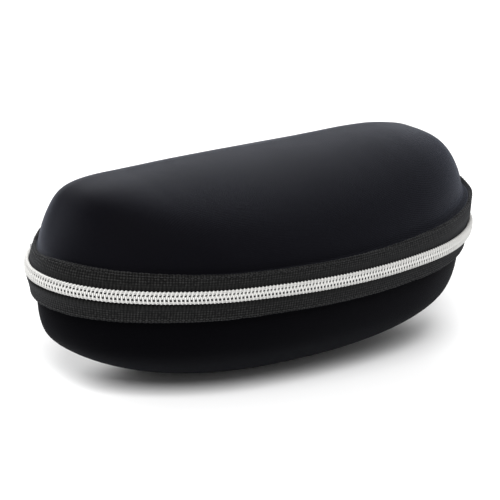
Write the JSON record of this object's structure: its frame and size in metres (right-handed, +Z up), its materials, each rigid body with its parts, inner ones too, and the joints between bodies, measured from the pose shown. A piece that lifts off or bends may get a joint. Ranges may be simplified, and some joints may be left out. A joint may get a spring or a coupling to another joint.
{
  "type": "eyeglasses case",
  "caption": "Moulded zip-around eyeglasses case: two padded fabric shells hinged along the back, closed by a coil zipper round the ends and front",
  "frame": {"origin": "on the resting plane, under the middle of the flat bottom of the base shell", "axes": "+Z up, +X along the length towards the end with the slider, -Y the front, +Y the hinge side"},
  "size_m": [0.164, 0.0757, 0.0647],
  "materials": {
    "cover_fabric": "fine black jersey knit bonded to the foam, soft satin sheen",
    "shell_foam": "moulded closed-cell foam, matt",
    "lining_fabric": "brushed short-pile lining, matt",
    "zip_tape": "woven polyester tape, ribbed along its length, matt",
    "zip_coil": "silver-white metallised coil, satin",
    "thread": "twisted black polyester thread",
    "binding": "folded woven edging, matt",
    "hinge_fabric": "black jersey strip, matt",
    "zip_metal": "nickel plated, polished"
  },
  "bodies": {
    "base": {"base_cover": "cover_fabric", "base_core": "shell_foam", "base_lining": "lining_fabric", "lower_zip_tape": "zip_tape", "lower_coil": "zip_coil", "lower_coil_cord": "thread", "base_seam_thread": "thread", "base_rim_binding": "binding", "base_hinge_flap": "hinge_fabric", "lower_top_stop": "zip_metal", "bottom_stop": "zip_metal"},
    "lid": {"lid_cover": "cover_fabric", "lid_core": "shell_foam", "lid_lining": "lining_fabric", "upper_zip_tape": "zip_tape", "upper_coil": "zip_coil", "upper_coil_cord": "thread", "lid_seam_thread": "thread", "lid_rim_binding": "binding", "lid_hinge_flap": "hinge_fabric", "upper_top_stop": "zip_metal"},
    "slider": {"slider_body": "zip_metal"},
    "pull_link": {"pull_link": "zip_metal"},
    "pull_tab": {"pull_tab": "zip_metal"}
  },
  "joints": [
    {"name": "lid_hinge", "type": "hinge", "parent": "base", "child": "lid", "pos_m": [0, 0.03004, 0.03566], "axis": [-1, 0, 0], "range_deg": [0, 110]},
    {"name": "slider_travel", "type": "hinge", "parent": "base", "child": "slider", "pos_m": [0.0509, 0.00014, 0.03566], "axis": [0, 0, -1], "range_deg": [0, 83]},
    {"name": "pull_link_swing", "type": "hinge", "parent": "slider", "child": "pull_link", "pos_m": [0.07466, 0.02474, 0.03566], "axis": [0.7193, -0.6947, 0], "range_deg": [0, 110]},
    {"name": "pull_tab_swing", "type": "hinge", "parent": "pull_link", "child": "pull_tab", "pos_m": [0.07466, 0.02474, 0.02806], "axis": [0.6947, 0.7193, 0], "range_deg": [-50, 50]}
  ]
}
